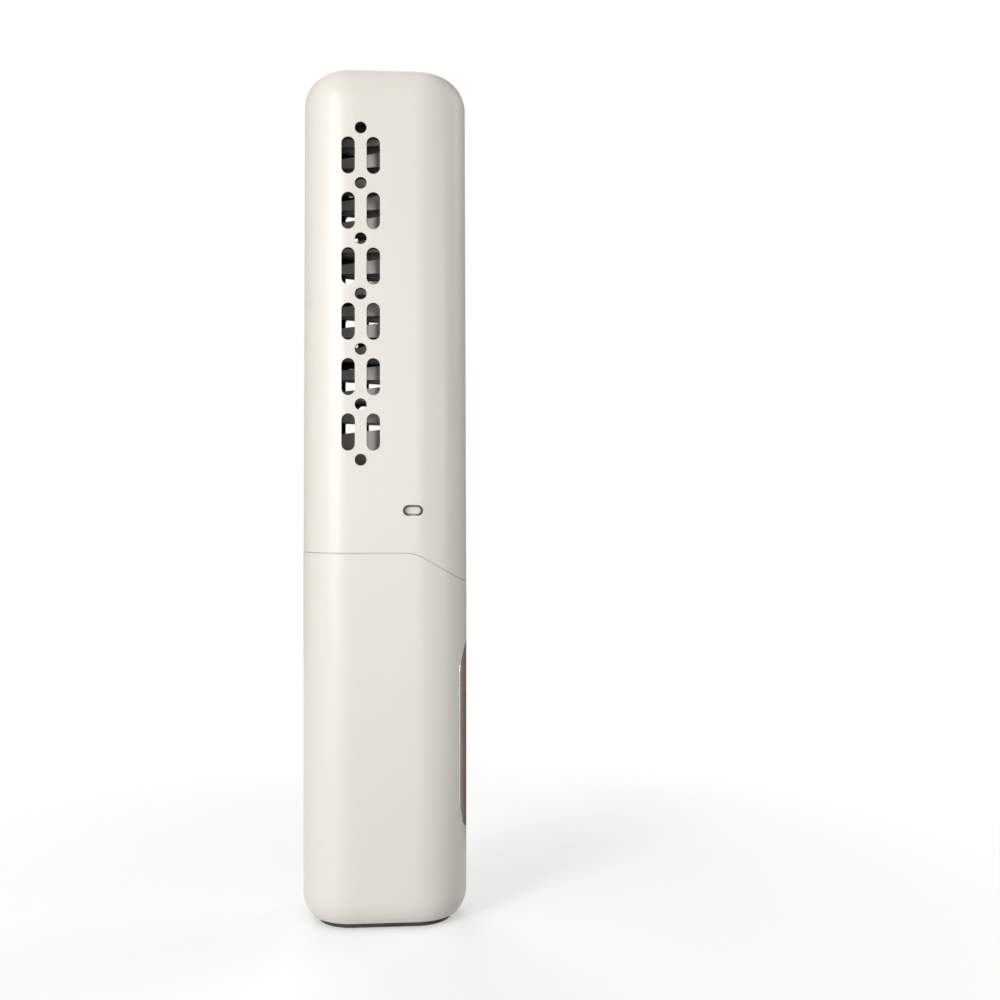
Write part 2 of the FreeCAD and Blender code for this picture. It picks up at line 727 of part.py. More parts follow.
def wire(points, diameter):
    """Round wire along straight runs joined by tangent arcs as large as the shorter run allows."""
    edges = []
    here = points[0]
    for before, corner, after in zip(points, points[1:], points[2:]):
        into = (corner - before).normalize()
        out = (after - corner).normalize()
        run = LEAD_BEND * min((corner - before).Length, (after - corner).Length)
        inner = (out - into).normalize()
        turn = into.getAngle(out)
        radius = run / math.tan(turn / 2)
        middle = corner + inner * (radius / math.cos(turn / 2) - radius)
        edges.append(Part.makeLine(here, corner - into * run))
        edges.append(Part.Arc(corner - into * run, middle, corner + out * run).toShape())
        here = corner + out * run
    edges.append(Part.makeLine(here, points[-1]))
    ring = Part.makeCircle(diameter / 2, points[0], points[1] - points[0])
    return Part.Wire(edges).makePipeShell([Part.Wire([ring])], True, False)


def heater_leads():
    """Insulated leads between the head and the board."""
    return Part.Compound([wire(route, LEAD_D) for route in lead_routes()])


def heat_barrier():
    """Plate that closes the neck under the tooth head, with a hole for each lead."""
    solid = slab(CAVITY_INSET + BARRIER_PLAY, BARRIER_Z0, BARRIER_Z1)
    for route in lead_routes():
        foot = route[-1]
        hole = rod(LEAD_D / 2 + LEAD_PLAY, V(foot.x, foot.y, BARRIER_Z0), Z_AXIS, BARRIER_T)
        solid = solid.cut(hole)
    return solid


def neck_skin(outer, inner):
    """Shell of the neck between two depths below its surface."""
    low = BUTTON_Z - BUTTON_W
    high = BUTTON_Z + BUTTON_W
    return slab(INNER_INSET + outer, low, high).cut(slab(INNER_INSET + inner, low, high))


def power_button():
    """Button flush with the neck, with a flange behind the wall and a stem to the switch."""
    flange_out = NECK_WALL + FLANGE_GAP
    flange_in = flange_out + FLANGE_T
    face = neck_skin(BUTTON_RECESS, flange_in).common(button_pill(0))
    flange = neck_skin(flange_out, flange_in).common(button_pill(FLANGE_LIP))
    tip = V(plunger_tip(), 0, BUTTON_Z)
    stem = rod(BUTTON_STEM_D / 2, tip, X_AXIS, NECK_W / 2 - flange_out - tip.x)
    return face.multiFuse([flange, stem]).removeSplitter()


def button_gasket():
    """Thin ring in the wall round the button, set back a little."""
    ring = button_pill(BUTTON_GASKET).cut(button_pill(BUTTON_GASKET_GAP))
    return neck_skin(BUTTON_GASKET_RECESS, NECK_WALL).common(ring)


def plunger_tip():
    """Place along X where the switch's plunger ends."""
    return BOARD_FACE + SWITCH_T + PLUNGER_OUT


def tact_switch():
    """Switch body on the board, with a bore for its plunger."""
    half = SWITCH_SIDE / 2
    body = box(BOARD_FACE, BOARD_FACE + SWITCH_T, -half, half, BUTTON_Z - half, BUTTON_Z + half)
    bore_start = V(BOARD_FACE + SWITCH_T - PLUNGER_ROOM, 0, BUTTON_Z)
    return body.cut(rod(PLUNGER_D / 2 + PLUNGER_PLAY, bore_start, X_AXIS, PLUNGER_ROOM))


def switch_plunger():
    """Plunger of the switch, pushed by the button's stem."""
    start = V(BOARD_FACE + SWITCH_T - PLUNGER_IN, 0, BUTTON_Z)
    return rod(PLUNGER_D / 2, start, X_AXIS, PLUNGER_IN + PLUNGER_OUT)


def cell_tray():
    """Tray in the grip: cradle of the cell with open front and rear, screw holes and slots for the tabs."""
    solid = cup_form(INNER_INSET, TRAY_Z0, TRAY_Z1)
    solid = solid.common(box(-BODY_W, BOARD_X, -BODY_D, BODY_D, TRAY_Z0, TRAY_Z1))
    pocket_z = TRAY_Z0 + TRAY_FLOOR
    pocket = rod(CELL_D / 2 + CELL_GAP, V(CELL_X, 0, pocket_z), Z_AXIS, CELL_ROOF - pocket_z)
    solid = solid.cut(pocket)
    half = TAB_W / 2 + TAB_PLAY
    reach = CELL_END_GAP + TAB_PLAY
    solid = solid.cut(box(CELL_X, BODY_W, -half, half, pocket_z, pocket_z + reach))
    solid = solid.cut(box(CELL_X, BODY_W, -half, half, CELL_ROOF - reach, CELL_ROOF))
    middle = V(CELL_X, -BODY_D, (CELL_Z0 + CELL_Z1) / 2)
    solid = solid.cut(pill(middle, Z_AXIS, Y_AXIS, TRAY_SLOT_L, TRAY_SLOT_W, 2 * BODY_D))
    for start in head_screw_starts():
        solid = solid.cut(screw_seat(start, Z_AXIS, TRAY_TOP + STACK_GAP))
    for start in base_screw_starts():
        length = SCREW_HEAD_H + base_screw_grip() + SCREW_PLAY
        solid = solid.cut(rod(SCREW_R + SCREW_PLAY, start, Z_AXIS, length))
    for start in board_screw_starts():
        length = SCREW_HEAD_H + board_screw_grip() + SCREW_PLAY
        solid = solid.cut(rod(SCREW_R + SCREW_PLAY, start, -X_AXIS, length))
    return solid


def battery_cell():
    """Round cell with a raised terminal at the top."""
    can = rod(CELL_D / 2, V(CELL_X, 0, CELL_Z0), Z_AXIS, CELL_L - TERMINAL_H)
    terminal = rod(TERMINAL_D / 2, V(CELL_X, 0, CELL_Z1 - TERMINAL_H), Z_AXIS, TERMINAL_H)
    return can.fuse(terminal)


def cell_tabs():
    """Welded strips from the ends of the cell to the back of the board."""
    x0 = CELL_X - TAB_W / 2
    half = TAB_W / 2
    low = box(x0, BOARD_X, -half, half, CELL_Z0 - TAB_T, CELL_Z0)
    high = box(x0, BOARD_X, -half, half, CELL_Z1, CELL_Z1 + TAB_T)
    return Part.Compound([low, high])


def main_board():
    """Long circuit board along the tray, with its two screw holes."""
    half = BOARD_W / 2
    solid = box(BOARD_X, BOARD_FACE, -half, half, BOARD_Z0, BOARD_Z1)
    for start in board_screw_starts():
        hole = rod(SCREW_R + SCREW_CLEAR, start, -X_AXIS, SCREW_HEAD_H + BOARD_T)
        solid = solid.cut(hole)
    return solid


def on_board(side, thickness, y, z):
    """Square component on the board's face."""
    half = side / 2
    return box(BOARD_FACE, BOARD_FACE + thickness, y - half, y + half, z - half, z + half)


def board_components():
    """Converter coil, controller and two power transistors."""
    coil = on_board(COIL_SIDE, COIL_T, 0, BOARD_Z0 + COIL_RISE)
    chip = on_board(CHIP_SIDE, CHIP_T, 0, CHIP_Z)
    power = [on_board(POWER_SIDE, POWER_T, side * POWER_Y, TRAY_Z1 + POWER_RISE) for side in (-1, 1)]
    return Part.Compound([coil, chip] + power)


def indicator_lights():
    """Row of small lights behind the panel's window."""
    solids = []
    for index in range(LIGHT_COUNT):
        z = PANEL_Z + (index - (LIGHT_COUNT - 1) / 2) * LIGHT_PITCH
        half_l = LIGHT_L / 2
        half_w = LIGHT_W / 2
        solids.append(box(BOARD_FACE, BOARD_FACE + LIGHT_T, -half_w, half_w, z - half_l, z + half_l))
    return Part.Compound(solids)


def usb_socket():
    """Metal shell of the charging inlet, open downwards, with a closed back."""
    centre = V(USB_X, 0, USB_RECESS)
    shell = pill(centre, Y_AXIS, Z_AXIS, USB_W, USB_T, USB_L)
    inner_w = USB_W - 2 * USB_SKIN
    inner_t = USB_T - 2 * USB_SKIN
    return shell.cut(pill(centre, Y_AXIS, Z_AXIS, inner_w, inner_t, USB_L - USB_BACK))


def usb_tongue():
    """Contact tongue in the middle of the inlet."""
    back = USB_RECESS + USB_L - USB_BACK
    half_t = TONGUE_T / 2
    half_w = TONGUE_W / 2
    return box(USB_X - half_t, USB_X + half_t, -half_w, half_w, back - TONGUE_L, back)


def screws(starts, axis, grip):
    """Group of like screws."""
    return Part.Compound([screw(start, axis, grip) for start in starts])


def all_nodes():
    """Every piece by name."""
    front, rear = head_shells()
    return {
        "cap_shell": cap_shell(),
        "handle_sleeve": handle_sleeve(),
        "base_pad": base_pad(),
        "side_panel": side_panel(),
        "panel_gasket": panel_gasket(),
        "head_front_shell": front,
        "head_rear_shell": rear,
        "heater_comb": heater_comb(),
        "ceramic_heater": ceramic_heater(),
        "spine_insulator": spine_insulator(),
        "thermal_fuse": thermal_fuse(),
        "temperature_sensor": temperature_sensor(),
        "heater_leads": heater_leads(),
        "heat_barrier": heat_barrier(),
        "power_button": power_button(),
        "button_gasket": button_gasket(),
        "tact_switch": tact_switch(),
        "switch_plunger": switch_plunger(),
        "cell_tray": cell_tray(),
        "battery_cell": battery_cell(),
        "cell_tabs": cell_tabs(),
        "main_board": main_board(),
        "board_components": board_components(),
        "indicator_lights": indicator_lights(),
        "usb_socket": usb_socket(),
        "usb_tongue": usb_tongue(),
        "base_screws": screws(base_screw_starts(), Z_AXIS, base_screw_grip()),
        "head_screws": screws(head_screw_starts(), Z_AXIS, head_screw_grip()),
        "board_screws": screws(board_screw_starts(), -X_AXIS, board_screw_grip()),
    }


def main():
    """Write each piece to its own file."""
    os.makedirs("parts", exist_ok=True)
    for name, shape in all_nodes().items():
        print(name, len(shape.Solids), shape.isValid(), round(shape.Volume, 2))
        shape.exportStep(f"parts/{name}.step")


if __name__ == "__main__":
    main()
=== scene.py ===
"""Looks of a cordless hair straightening comb with a vented travel cap.

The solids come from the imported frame; this file gives each of them its finish, adds the printed sign on the
button and the contacts of the charging inlet, and sets the stage, the lamps and the camera.
Lengths are in metres: +Z is up, the teeth point to -X and the front is -Y.
"""
import math

import bpy
import numpy as np
from bpy.props import FloatProperty, FloatVectorProperty, IntProperty, PointerProperty
from bpy.types import Operator, Panel, PropertyGroup
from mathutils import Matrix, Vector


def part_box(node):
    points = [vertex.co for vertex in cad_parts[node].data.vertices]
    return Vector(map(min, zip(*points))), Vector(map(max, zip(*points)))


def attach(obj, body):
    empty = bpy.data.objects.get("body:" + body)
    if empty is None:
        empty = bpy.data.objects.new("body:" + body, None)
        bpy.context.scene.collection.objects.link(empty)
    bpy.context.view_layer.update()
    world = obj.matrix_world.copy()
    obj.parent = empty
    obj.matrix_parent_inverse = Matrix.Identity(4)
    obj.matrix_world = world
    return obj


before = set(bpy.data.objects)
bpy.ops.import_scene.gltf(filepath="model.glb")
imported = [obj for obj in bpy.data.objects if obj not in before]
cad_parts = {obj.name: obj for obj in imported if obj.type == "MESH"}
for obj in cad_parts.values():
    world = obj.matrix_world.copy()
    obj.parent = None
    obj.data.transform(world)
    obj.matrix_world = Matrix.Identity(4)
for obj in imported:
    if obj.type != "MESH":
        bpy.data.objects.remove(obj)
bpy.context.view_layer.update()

bl_info = {
    "name": "Straightening comb",
    "version": (1, 0, 0),
    "blender": (4, 5, 0),
    "location": "3D View > Sidebar > Comb",
    "description": "Finishes, small trim and stage of a cordless hair straightening comb",
    "category": "Object",
}

BUTTON_LOW, BUTTON_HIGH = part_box("power_button")
TONGUE_LOW, TONGUE_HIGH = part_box("usb_tongue")
COMB_LOW, COMB_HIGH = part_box("heater_comb")
CAP_LOW, CAP_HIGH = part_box("cap_shell")
MM = 0.001

# Finish of the comb's two shells, with painted shade on the walls of the tooth gaps.
LEVEL_FACE = (0.35, 0.6)  # upright part of the normal at which the painted shade on the gap walls begins and is full
GAP_SHADE_MARGIN = 3 * MM  # how far below the top of the heated comb the painted shade on the gap walls stays
TOOTH_SIDE = (-4 * MM, 0.5 * MM)  # how far from the middle, to the teeth, the matt begins and is full

# Where each lamp stands, its width and its height. The powers are among the stage's values.
LAMPS = {
    "key": ((-0.68, -0.51, 0.32), 0.42, 0.60),
    "front": ((-0.500, -0.607, 0.240), 0.22, 0.35),
    "fill": ((0.35, -0.80, 0.10), 0.50, 0.60),
    "face": ((-0.01, -0.80, 0.0), 0.16, 0.60),
    "rim": ((0.69, -0.40, 0.10), 0.14, 0.50),
    "side": ((0.72, 0.34, 0.50), 0.50, 0.50),
    "back": ((-0.25, 0.80, 0.35), 0.50, 0.60),
    "top": ((0.0, 0.0, 0.90), 0.60, 0.60),
}
# Upright cards: first and last point on the floor, and height. The colours are among the stage's values.
CARDS = {
    "right_flag": ((0.12, 0.50), (0.55, 0.02), 0.55),
    "left_flag": ((-0.12, 0.50), (-0.55, 0.10), 0.55),
    "front_flag": ((0.115, -0.589), (0.32, -0.507), 0.55),
    "gloss_flag": ((0.0285, 0.060), (0.090, 0.0260), 0.35),
}
# Lamps and cards that reach only matt or only glossy reflection.
MATT_ONLY = ("fill", "right_flag")
GLOSS_ONLY = ("face", "rim", "front_flag", "gloss_flag")
LAMP_TARGET = (0.0, 0.0, 0.1)
CAMERA_CLIP = 10 * MM

# Floor and room.
WHITE = (1.0, 1.0, 1.0, 1.0)
FLOOR_TINT = (0.98, 1.0, 1.04)
SHADOW_CORE = 0.3  # share of the shadow zone in which the floor is fully lit by the lamps
RIGHT_OF_FOOT = (10 * MM, 30 * MM)  # how far to the right the floor's shaded patch begins and is full
ROUND_FOOT = (30 * MM, 85 * MM)  # how far from the middle that patch begins to end and has ended


def tint(label, note, value):
    """Colour property with its default in linear light."""
    return FloatVectorProperty(
        name=label, description=note, default=value, size=3, min=0.0, max=1.0, subtype="COLOR"
    )


def length(label, note, value):
    """Length property in metres."""
    return FloatProperty(name=label, description=note, default=value, min=0.0, unit="LENGTH", precision=5)


def share(label, note, value):
    """Property between 0 and 1."""
    return FloatProperty(name=label, description=note, default=value, min=0.0, max=1.0, subtype="FACTOR")


def power(label, note, value):
    """Lamp power property in watts."""
    return FloatProperty(name=label, description=note, default=value, min=0.0, unit="POWER")


def angle(label, note, degrees):
    """Angle property with its default in degrees."""
    return FloatProperty(name=label, description=note, default=math.radians(degrees), subtype="ANGLE")


class COMB_PG_finish(PropertyGroup):
    """Colours and gloss of the pieces that show."""

    ivory: tint("Ivory", "Cap, grip and comb mouldings", (0.795, 0.772, 0.722))
    ivory_warm: tint("Warm ivory", "Second tone that clouds the mouldings", (0.788, 0.756, 0.698))
    ivory_rough: share("Ivory roughness", "Satin of the mouldings", 0.36)
    teeth_rough: share("Tooth roughness", "Roughness that the tooth faces have besides", 0.18)
    # Roughness of both painted shades: inside the cap and on the walls of the tooth gaps.
    painted_shade_rough: share("Shade roughness", "Roughness of the lining and the painted gap shade", 0.6)
    blush: tint("Blush", "Side panel and button", (0.980, 0.830, 0.780))
    seal: tint("Seal", "Thin dark rings round the panel and the button", (0.050, 0.036, 0.034))
    pad: tint("Pad", "Foot pad", (0.040, 0.037, 0.030))
    # Painted shade: a dark colour on the walls of the tooth gaps, where shade falls between the teeth.
    gap_wall_shade: tint("Gap shade", "Dark painted shade on the walls of the tooth gaps", (0.045, 0.042, 0.036))
    comb_coat: tint("Comb coat", "Dark coat of the heated comb", (0.014, 0.013, 0.011))
    # Painted shade: a dark colour laid over the inside of the cap, where shade falls.
    cap_inside_shade: tint("Cap inside shade", "Dark inside of the cap", (0.034, 0.032, 0.028))
    sign: tint("Sign", "Printed sign on the button", (0.250, 0.165, 0.155))


class COMB_PG_trim(PropertyGroup):
    """Sizes of the pieces that are added to the solids, and of the forms that the finishes follow."""

    sign_radius: length("Sign radius", "Middle line of the sign's open ring", 1.75 * MM)
    sign_stroke: length("Sign stroke", "Width of the sign's strokes", 0.42 * MM)
    sign_lift: length("Sign lift", "Height of the print over the button", 0.03 * MM)
    sign_opening: angle("Sign opening", "Half angle of the gap at the top of the ring", 34)
    neck_round: length("Neck round", "Radius of the button's curved face", 9.65 * MM)
    neck_flat: length("Neck flat", "Half width of the flat in the middle of that face", 0.5 * MM)
    body_round: length("Body round", "Radius of the body's upright corners", 12.0 * MM)
    top_round: length("Top round", "Radius of the cap's top edge", 8.0 * MM)
    # Depths at which the painted shade inside the cap begins and covers fully.
    skin: length("Skin", "Depth under the cap's outside at which its lining starts", 0.5 * MM)
    skin_fade: length("Skin fade", "Further depth at which the lining covers fully", 0.2 * MM)
    contact_count: IntProperty(
        name="Contacts", description="Contacts on each face of the tongue", default=12, min=1
    )
    contact_pitch: length("Contact pitch", "Distance between contacts", 0.5 * MM)
    contact_width: length("Contact width", "Width of one contact", 0.26 * MM)
    contact_length: length("Contact length", "Length of one contact", 3.2 * MM)
    contact_lift: length("Contact lift", "Height of a contact over the tongue", 0.03 * MM)
    contact_inset: length("Contact inset", "Distance of the contacts from the tongue's lower end", 0.4 * MM)


class COMB_PG_stage(PropertyGroup):
    """Camera, lamps, cards and floor."""

    lens: FloatProperty(name="Lens", description="Focal length", default=44.0, min=1.0, unit="CAMERA")
    camera_place: FloatVectorProperty(
        name="Camera place", description="Where the camera stands", default=(0.00285, -0.29297, 0.0989),
        size=3, unit="LENGTH", precision=5,
    )
    camera_turn: angle("Camera turn", "Turn to the right from looking along +Y", 4.8)
    key_power: power("Key power", "Tall soft lamp at the left", 1.32)
    front_power: power("Front power", "Narrow lamp at the front left", 2.85)
    fill_power: power("Fill power", "Soft lamp at the front right, without reflection", 1.45)
    face_power: power("Face power", "Lamp that only the flat front reflects", 1.1)
    rim_power: power("Rim power", "Lamp that only the right corner reflects", 1.1)
    side_power: power("Side power", "Lamp at the right, behind", 1.5)
    back_power: power("Back power", "Lamp behind the object", 2.6)
    top_power: power("Top power", "Soft lamp overhead", 0.4)
    ambient: FloatProperty(name="Ambient", description="Light of the room on the object", default=0.37, min=0.0)
    ambient_tint: tint("Ambient tint", "Colour of the room's light", (1.0, 0.972, 0.87))
    right_flag: tint("Right flag", "Card that shades the object's right edge", (0.26, 0.235, 0.18))
    left_flag: tint("Left flag", "Card that shades the object's left edge", (0.45, 0.415, 0.35))
    front_flag: tint("Front flag", "Dark card that the front's right edge reflects", (0.05, 0.05, 0.05))
    gloss_flag: tint("Gloss flag", "Dark card that the side panel reflects", (0.075, 0.062, 0.045))
    floor_size: length("Floor size", "Half the side of the floor", 6.0)
    floor_near: length("Shadow zone", "How far round the object the floor shows its shadow", 0.20)
    floor_lift: share("Floor lift", "Brightness added to the lit floor", 0.34)
    floor_shade: share("Floor shade", "Reflectance of the floor as it is seen", 0.82)
    floor_bounce: share("Floor bounce", "Reflectance of the floor as it lights the object", 0.62)
    foot_bounce: share("Foot bounce", "The same at the right of the foot", 0.16)


class Socket:
    """Output socket of a node. Maths on it adds Math nodes, and add() adds any other node."""

    def __init__(self, tree, output=None):
        self.tree = tree
        self.output = output

    def add(self, kind, settings=None, inputs=None, out=0):
        """New node of a type: its settings are set first, then the values or links of its sockets."""
        node = self.tree.nodes.new(kind)
        for key, value in (settings or {}).items():
            setattr(node, key, value)
        for key, value in (inputs or {}).items():
            if isinstance(value, Socket):
                self.tree.links.new(value.output, node.inputs[key])
            else:
                node.inputs[key].default_value = value
        return Socket(self.tree, node.outputs[out] if node.outputs else None)

    def beside(self, out):
        """Another output of the same node."""
        return Socket(self.tree, self.output.node.outputs[out])

    def math(self, operation, *others):
        """One Math node, with this socket as its first value."""
        return self.add("ShaderNodeMath", {"operation": operation}, dict(enumerate((self, *others))))

    def step(self, low, high):
        """Smooth rise from 0 at low to 1 at high."""
        inputs = {"Value": self, "From Min": low, "From Max": high}
        return self.add("ShaderNodeMapRange", {"interpolation_type": "SMOOTHSTEP"}, inputs)

    def __add__(self, other):
        return self.math("ADD", other)

    def __sub__(self, other):
        return self.math("SUBTRACT", other)

    def __rsub__(self, other):
        return self.add("ShaderNodeMath", {"operation": "SUBTRACT"}, {0: other, 1: self})

    def __mul__(self, other):
        return self.math("MULTIPLY", other)

    def __gt__(self, other):
        return self.math("GREATER_THAN", other)

    def __lt__(self, other):
        return self.math("LESS_THAN", other)

    def __abs__(self):
        return self.math("ABSOLUTE")

    __radd__ = __add__
    __rmul__ = __mul__


class Finish:
    """A new material with one Principled shader, and the patterns that its sockets are fed with."""

    def __init__(self, name, **constants):
        self.material = bpy.data.materials.new(name)
        self.material.use_nodes = True
        self.tree = self.material.node_tree
        self.shader = self.tree.nodes["Principled BSDF"]
        for key, value in constants.items():
            self.shader.inputs[key.replace("_", " ")].default_value = value
        self.start = Socket(self.tree)

    def place(self):
        """Object coordinates of the surface."""
        return self.start.add("ShaderNodeTexCoord", out="Object")

    def axes(self, source="Object"):
        """The three parts of the place, or of the normal, on the object's own axes."""
        vector = self.start.add("ShaderNodeTexCoord", out=source)
        split = self.start.add("ShaderNodeSeparateXYZ", inputs={0: vector})
        return [split.beside(axis) for axis in "XYZ"]

    def mapped(self, **changes):
        """Object coordinates moved by a Location, or drawn out along the axes with a small Scale."""
        return self.start.add("ShaderNodeMapping", inputs={"Vector": self.place(), **changes})

    def clouds(self, scale, detail=2.0, vector=None):
        """Soft noise between 0 and 1."""
        inputs = {"Vector": vector or self.place(), "Scale": scale, "Detail": detail, "Roughness": 0.55}
        return self.start.add("ShaderNodeTexNoise", inputs=inputs, out="Fac")

    def blend(self, factor, first, second):
        """Colour between two colours, which a Mix node takes at sockets 6 and 7 and gives at 2."""
        ends = [end if isinstance(end, Socket) else (*end, 1.0) for end in (first, second)]
        inputs = {0: factor, 6: ends[0], 7: ends[1]}
        return self.start.add("ShaderNodeMix", {"data_type": "RGBA"}, inputs, out=2)

    def grain(self, height, strength, depth):
        """Normal of a surface whose relief is height times depth."""
        inputs = {"Height": height, "Strength": strength, "Distance": depth}
        return self.start.add("ShaderNodeBump", inputs=inputs)

    def cover(self, mask, colour, roughness):
        """Lay painted shade, a matt layer of a colour, over the finish where mask is 1."""
        fine = self.clouds(scale=2200.0)
        base = self.blend(fine, colour, darker(colour, 0.6))
        inputs = {"Base Color": base, "Roughness": roughness + 0.1 * fine, "Specular IOR Level": 0.08}
        coat = self.start.add("ShaderNodeBsdfPrincipled", inputs=inputs)
        under = Socket(self.tree, self.shader.outputs[0])
        mixed = self.start.add("ShaderNodeMixShader", inputs={0: mask, 1: under, 2: coat})
        self.tree.links.new(mixed.output, self.tree.nodes["Material Output"].inputs["Surface"])

    def feed(self, **links):
        """Link patterns to the shader's sockets."""
        for key, value in links.items():
            self.tree.links.new(value.output, self.shader.inputs[key.replace("_", " ")])


def darker(colour, *depths):
    """Colour whose parts are taken down to one share, or each to its own."""
    each = depths if len(depths) == len(colour) else depths * len(colour)
    return tuple(part * depth for part, depth in zip(colour, each))


def wear(material, *nodes):
    """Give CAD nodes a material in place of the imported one."""
    for node in nodes:
        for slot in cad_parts[node].material_slots:
            slot.material = material


def ivory_moulding(name, looks, cloud_shift):
    """Satin ivory plastic: two near tones in slow clouds, a fine eroded grain and faint handling marks.

    Returns the finish and its roughness.
    """
    finish = Finish(name, IOR=1.5, Specular_IOR_Level=0.68)
    moved = finish.mapped(Location=cloud_shift)
    slow = finish.clouds(scale=26.0, vector=moved)
    fine = finish.clouds(scale=5200.0, detail=1.0)
    marks = finish.clouds(scale=140.0, detail=4.0, vector=moved).step(0.56, 0.78)
    specks = fine.step(0.66, 0.8)
    clouded = finish.blend(slow, looks.ivory, looks.ivory_warm)
    colour = finish.blend(specks * 0.12, clouded, looks.ivory_warm)
    rough = looks.ivory_rough + 0.06 * fine + 0.05 * marks
    normal = finish.grain(fine, strength=0.1, depth=0.02 * MM)
    finish.feed(Base_Color=colour, Roughness=rough, Normal=normal)
    return finish, rough


def moulded(name, colour, roughness, grain_scale=2600.0, shade=0.75, **constants):
    """Plain moulding or rubber: its colour clouded towards a darker one, with a fine grain."""
    finish = Finish(name, **constants)
    slow = finish.clouds(scale=90.0, detail=3.0)
    fine = finish.clouds(scale=grain_scale)
    base = finish.blend(slow.step(0.3, 0.75), colour, darker(colour, shade))
    normal = finish.grain(fine, strength=0.25, depth=0.03 * MM)
    finish.feed(Base_Color=base, Roughness=roughness + 0.12 * fine, Normal=normal)
    return finish.material


def drawn_metal(name, colour, roughness, stretch):
    """Drawn or rolled metal: fine streaks along one axis in colour, gloss and relief."""
    finish = Finish(name, Metallic=1.0)
    streaks = finish.clouds(scale=1.0, detail=3.0, vector=finish.mapped(Scale=stretch))
    base = finish.blend(streaks, colour, darker(colour, 0.72))
    normal = finish.grain(streaks, strength=0.15, depth=0.01 * MM)
    finish.feed(Base_Color=base, Roughness=roughness + 0.18 * streaks, Normal=normal)
    return finish.material


def put_mesh(name, points, faces, body, material):
    """New piece of the object at the origin, from arrays of points and of faces."""
    mesh = bpy.data.meshes.new(name)
    mesh.from_pydata(points, [], faces)
    mesh.polygons.foreach_set("use_smooth", np.ones(len(mesh.polygons), dtype=bool))
    mesh.materials.append(material)
    mesh.validate()
    piece = bpy.data.objects.new(name, mesh)
    bpy.context.scene.collection.objects.link(piece)
    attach(piece, body)


def closed_tube(rings, poles):
    """Points and triangles of a tube through rings of points, closed by a pole at each end."""
    count, around, _ = rings.shape
    ring, point = np.meshgrid(np.arange(count - 1) * around, np.arange(around), indexing="ij")
    near = ring + point
    after = ring + (point + 1) % around
    pole = np.full(around, count * around)
    first = np.stack([pole, after[0], near[0]], axis=-1)
    last = np.stack([pole + 1, near[-1] + around, after[-1] + around], axis=-1)
    corners = [near, after, after + around, near, after + around, near + around]
    sides = np.stack(corners, axis=-1).reshape(-1, 3)
    return np.concatenate([rings.reshape(-1, 3), poles]), np.concatenate([sides, first, last])


def stroke(path, width, lift, steps_around=12, cap_steps=6):
    """Raised print along a line of (y, z) points on the button's face.

    The line is carried on by half a width at both ends. Across it the print is an ellipse with the stroke's
    width and twice the lift; at the ends the width follows a half circle, closed by a pole at its tip.
    Returns (y, z, height) per point, and the triangles.
    """
    half = width / 2
    along = np.gradient(path, axis=0)
    along /= np.linalg.norm(along, axis=1, keepdims=True)
    reach = half * np.sin(np.linspace(0, np.pi / 2, cap_steps + 1)[1:-1])
    head = path[0] - along[0] * reach[::-1, None]
    tail = path[-1] + along[-1] * reach[:, None]
    line = np.concatenate([head, path, tail])
    forward = np.concatenate([np.repeat(along[:1], len(head), 0), along, np.repeat(along[-1:], len(tail), 0)])
    round_end = np.sqrt(1 - (reach / half) ** 2)
    size = np.concatenate([round_end[::-1], np.ones(len(path)), round_end])
    side = np.stack([-forward[:, 1], forward[:, 0]], axis=1)
    turn = np.linspace(0, 2 * np.pi, steps_around, endpoint=False)
    across = np.cos(turn)[None, :, None] * side[:, None, :] * (half * size)[:, None, None]
    flat = line[:, None, :] + across
    height = np.sin(turn)[None, :] * lift * size[:, None]
    rings = np.concatenate([flat, height[..., None]], axis=2)
    tips = np.stack([path[0] - along[0] * half, path[-1] + along[-1] * half])
    return closed_tube(rings, np.pad(tips, ((0, 0), (0, 1))))


def power_sign_shape(trim, ring_steps=73, bar_steps=13):
    """Open ring with an upright bar through its gap, laid on the button's curved face.

    The face is flat to neck_flat either side of the middle, then a circle of neck_round:
    x = face - round + sqrt(round^2 - (|y| - flat)^2).
    """
    turn = np.linspace(trim.sign_opening, 2 * np.pi - trim.sign_opening, ring_steps)
    ring = np.stack([np.sin(turn), np.cos(turn)], axis=1) * trim.sign_radius
    bar_foot, bar_top = 0.15 * trim.sign_radius, 1.22 * trim.sign_radius
    bar_z = np.linspace(bar_foot, bar_top, bar_steps)
    bar = np.stack([np.zeros_like(bar_z), bar_z], axis=1)
    strokes = [stroke(path, trim.sign_stroke, trim.sign_lift) for path in (ring, bar)]
    first = len(strokes[0][0])
    flat = np.concatenate([points for points, _ in strokes])
    faces = np.concatenate([strokes[0][1], strokes[1][1] + first])
    beyond = np.maximum(np.abs(flat[:, 0]) - trim.neck_flat, 0)
    drop = trim.neck_round - np.sqrt(trim.neck_round ** 2 - beyond ** 2)
    middle_z = (BUTTON_LOW.z + BUTTON_HIGH.z) / 2
    points = np.stack([BUTTON_HIGH.x - drop + flat[:, 2], flat[:, 0], middle_z + flat[:, 1]], axis=1)
    return points, faces


